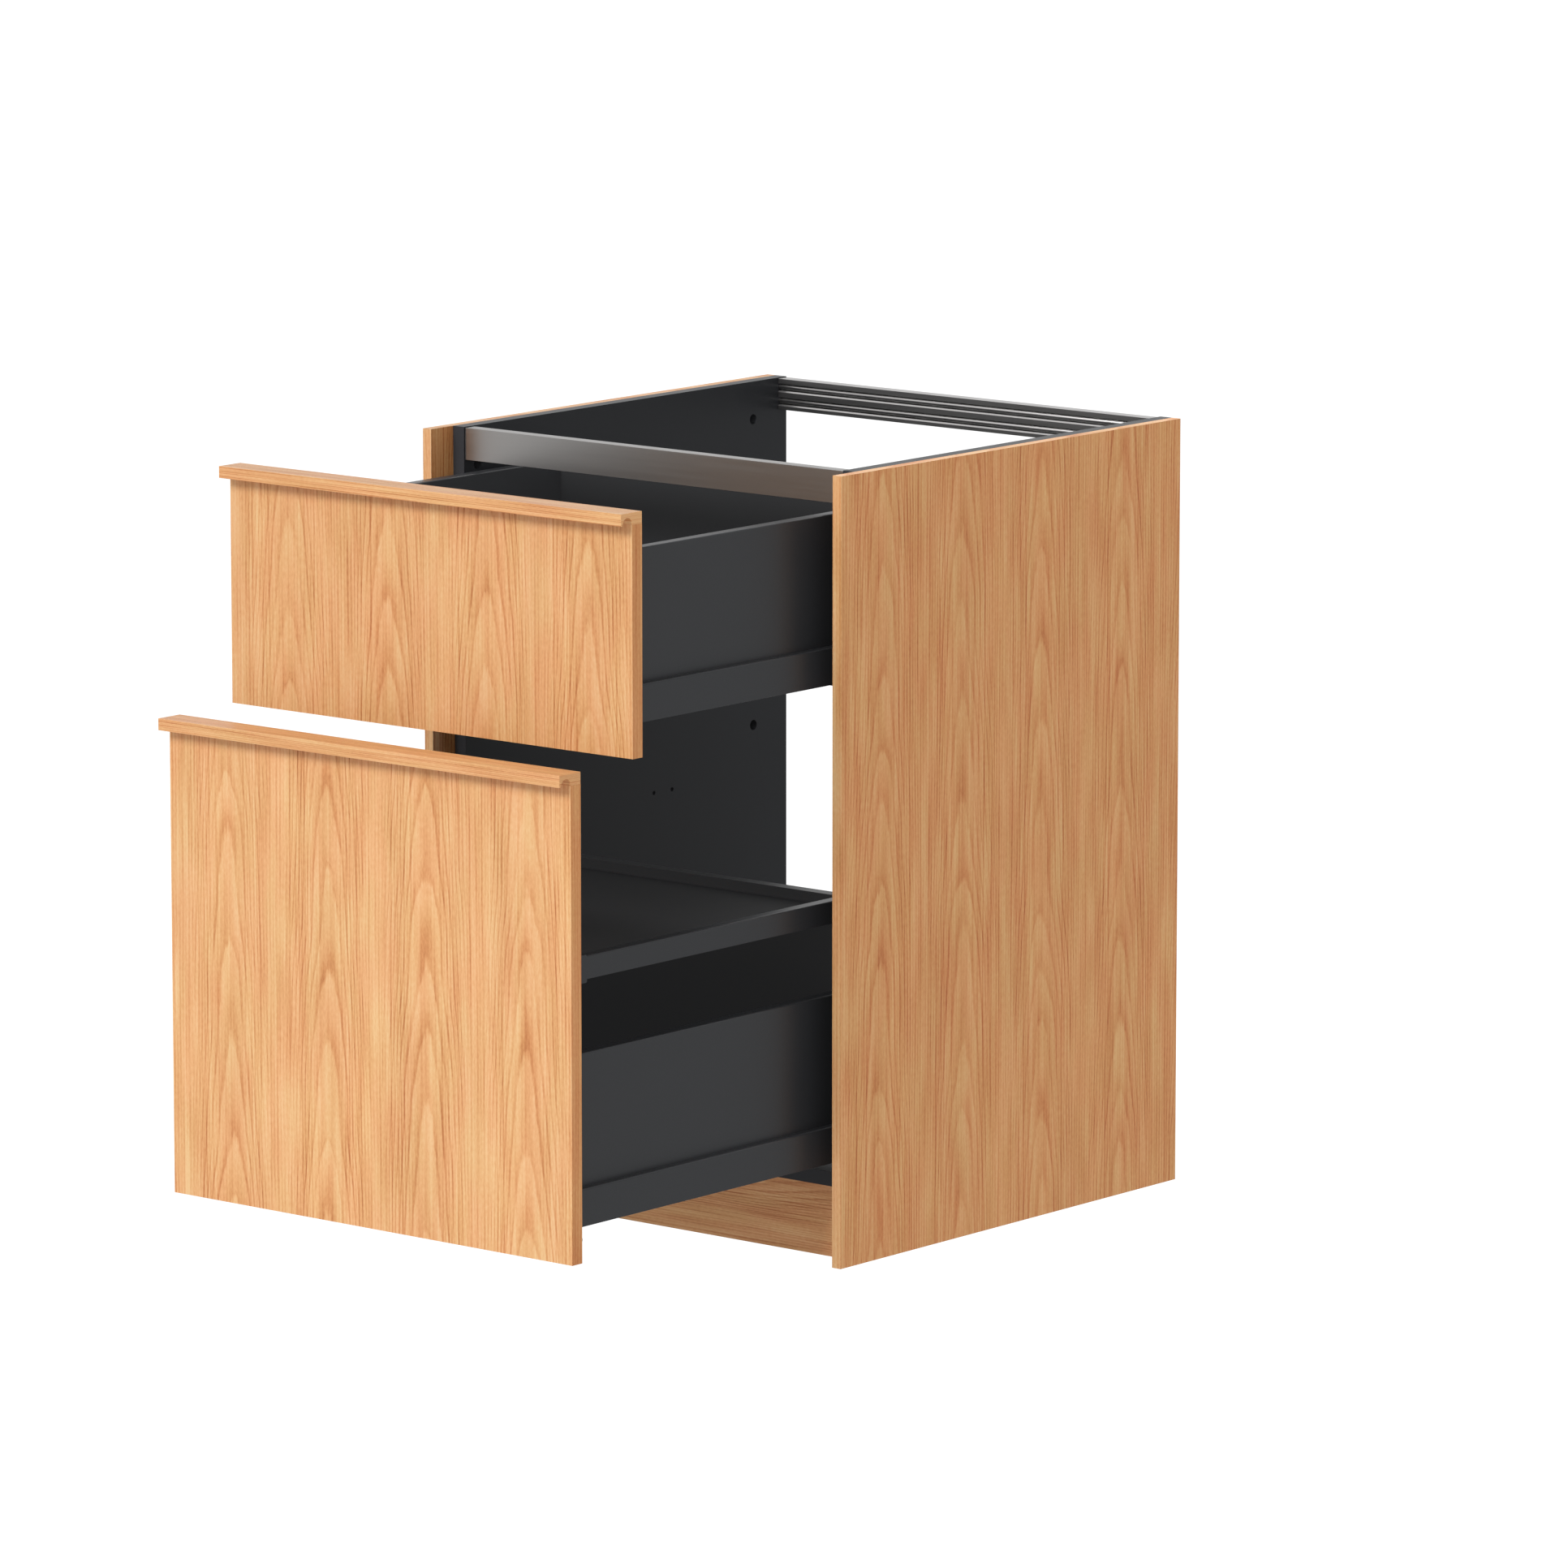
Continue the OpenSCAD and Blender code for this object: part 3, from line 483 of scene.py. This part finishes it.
def make_world():
    """White surroundings: plain paper to the camera, dimmer to matt faces than to mirrors."""
    world = bpy.data.worlds.new("studio")
    bpy.context.scene.world = world
    world.use_nodes = True
    tree = world.node_tree
    tree.nodes.clear()
    output = tree.nodes.new("ShaderNodeOutputWorld")
    shade = tree.nodes.new("ShaderNodeBackground")
    shade.inputs["Color"].default_value = (1, 1, 1, 1)
    path = tree.nodes.new("ShaderNodeLightPath")
    way = tree.nodes.new("ShaderNodeSeparateXYZ")
    tree.links.new(tree.nodes.new("ShaderNodeTexCoord").outputs["Generated"], way.inputs[0])
    behind = tree.nodes.new("ShaderNodeMapRange")
    tree.links.new(way.outputs["Y"], behind.inputs["Value"])
    for name, value in (("From Min", SKY_BEHIND[0]), ("From Max", SKY_BEHIND[1]),
                        ("To Min", SKY_GLOW), ("To Max", SKY_GLOSS)):
        behind.inputs[name].default_value = value
    mirrored = tree.nodes.new("ShaderNodeMix")
    tree.links.new(path.outputs["Is Glossy Ray"], mirrored.inputs[0])
    mirrored.inputs[2].default_value = SKY_GLOW
    tree.links.new(behind.outputs["Result"], mirrored.inputs[3])
    strength = tree.nodes.new("ShaderNodeMix")
    tree.links.new(path.outputs["Is Camera Ray"], strength.inputs[0])
    tree.links.new(mirrored.outputs[0], strength.inputs[2])
    strength.inputs[3].default_value = PAPER_WHITE
    tree.links.new(strength.outputs[0], shade.inputs["Strength"])
    tree.links.new(shade.outputs[0], output.inputs["Surface"])


def make_sun():
    data = bpy.data.lights.new("sun", "SUN")
    data.energy = SUN_POWER
    data.angle = math.radians(SUN_WIDTH)
    light = bpy.data.objects.new("sun", data)
    light.rotation_euler = (math.radians(90 - SUN_ELEVATION), 0, 0)
    bpy.context.scene.collection.objects.link(light)


bpy.context.scene.view_settings.view_transform = "Standard"
make_camera()
make_world()
make_sun()
make_floor()

# The fourth value is where the middle of one column of arches stands: millimetres along X + Y
# on the fronts and covers, and along Y + Z times squeeze on the strips and the plinth
mat_top_front = oak("oak_top_front", "xy", "z", -322.5, 2.0, edge="zyx", base=0.185,
                    side_base=0.16, tone=0.975)
mat_lower_front = oak("oak_lower_front", "xy", "z", -422.5, 5.0, edge="zyx", side_base=0.16)
# The covers' level faces are made lighter by top: a painted highlight
mat_right_cover = oak("oak_right_cover", "xy", "z", 292.5, 9.0, edge="zxy", streak=1.3, top=1.34)
mat_left_cover = oak("oak_left_cover", "xy", "z", -286.25, 14.0, edge="zxy", streak=1.4, top=1.08)
mat_strip = oak("oak_strip", "yz", "x", 900.0, 17.0, edge="xzy", column=2000.0, squeeze=2.3,
                base=0.15, side_base=-0.22, streak=1.5)
mat_plinth = oak("oak_plinth", "zy", "x", 70.0, 25.0, column=200.0, squeeze=1.6, base=0.36,
                 streak=1.2)
mat_carcass = board("carcass_board", (0.0280, 0.0298, 0.0338), y_face_lift=1.7, gloss=0.14)
mat_bottom_board = board("bottom_board", (0.0240, 0.0250, 0.0275), rough=0.5, seed=9.0,
                         y_face_lift=1.8, gloss=0.06)
mat_inner_board = board("drawer_board", (0.0325, 0.0330, 0.0340), rough=0.55, seed=12.0,
                        painted_glow=INNER_PAINTED_GLOW, gloss=0.06)
# Lighter copies of the drawer board and steel with more painted glow: painted fill light inside
# the drawers
mat_lit_inside_board = board("lit_inside_drawer_board", (0.0325, 0.0335, 0.0355), seed=14.0, painted_glow=INSIDE_PAINTED_GLOW)
mat_drawer_steel = coated_steel("drawer_steel", (0.0325, 0.0345, 0.0385))
mat_lit_inside_steel = coated_steel("lit_inside_drawer_steel", (0.0350, 0.0370, 0.0412), painted_glow=INSIDE_PAINTED_GLOW)
mat_runner = coated_steel("runner_steel", (0.030, 0.030, 0.032), rough=0.35)
mat_black_steel = coated_steel("black_steel", (0.012, 0.012, 0.012), rough=0.4)
# The front rail's top is darkened (painted shade) and the rear rail's bevels are lightened
# (painted highlight)
mat_front_rail = brushed("rail_metal", (0.468, 0.456, 0.446), "x", rough=0.36, streak=0.04,
                         top=0.80)
mat_rear_rail = brushed("rear_rail_metal", (0.50, 0.49, 0.485), "x", rough=0.33, streak=0.04,
                        bevel_glint=1.9)
mat_zinc = brushed("zinc_steel", (0.72, 0.73, 0.75), "z")
mat_plastic = plastic("dark_plastic", (0.018, 0.018, 0.019))

# The left drawer sides, whose inner faces are seen inside the drawers, get the lighter steel with
# painted fill light
LIT_INSIDE_SIDES = ("top_side_left", "lower_side_left", "inner_side_left")


def outfit(name):
    """The material of a node, and the radius of its rounded edges."""
    if name.endswith("front_panel"):
        return mat_top_front if name.startswith("top") else mat_lower_front, FRONT_EDGE
    if name.endswith("handle_strip"):
        return mat_strip, STRIP_EDGE
    if name.endswith("cover_panel"):
        return mat_left_cover if name.startswith("left") else mat_right_cover, PANEL_EDGE
    if name == "plinth":
        return mat_plinth, PANEL_EDGE
    if name == "bottom_panel":
        return mat_bottom_board, BOARD_EDGE
    if name.endswith("side_panel"):
        return mat_carcass, BOARD_EDGE
    if name.endswith(("drawer_bottom", "drawer_back")):
        return mat_inner_board if name == "inner_drawer_bottom" else mat_lit_inside_board, BOARD_EDGE
    if "runner_left" in name or "runner_right" in name or "_slide_" in name:
        return mat_runner, UNROUNDED
    if "_side_" in name or name in ("inner_front_bar", "inner_end_caps"):
        return mat_lit_inside_steel if name in LIT_INSIDE_SIDES else mat_drawer_steel, METAL_EDGE
    if name.endswith("_rail"):
        return mat_rear_rail if name == "rear_rail" else mat_front_rail, METAL_EDGE
    if name == "cover_screws":
        return mat_black_steel, UNROUNDED
    if name.endswith(("screws", "brackets")):
        return mat_zinc, UNROUNDED
    return mat_plastic, UNROUNDED


for node_name, obj in nodes.items():
    material, radius = outfit(node_name)
    dress(obj, material)
    if radius:
        soften(obj, radius)
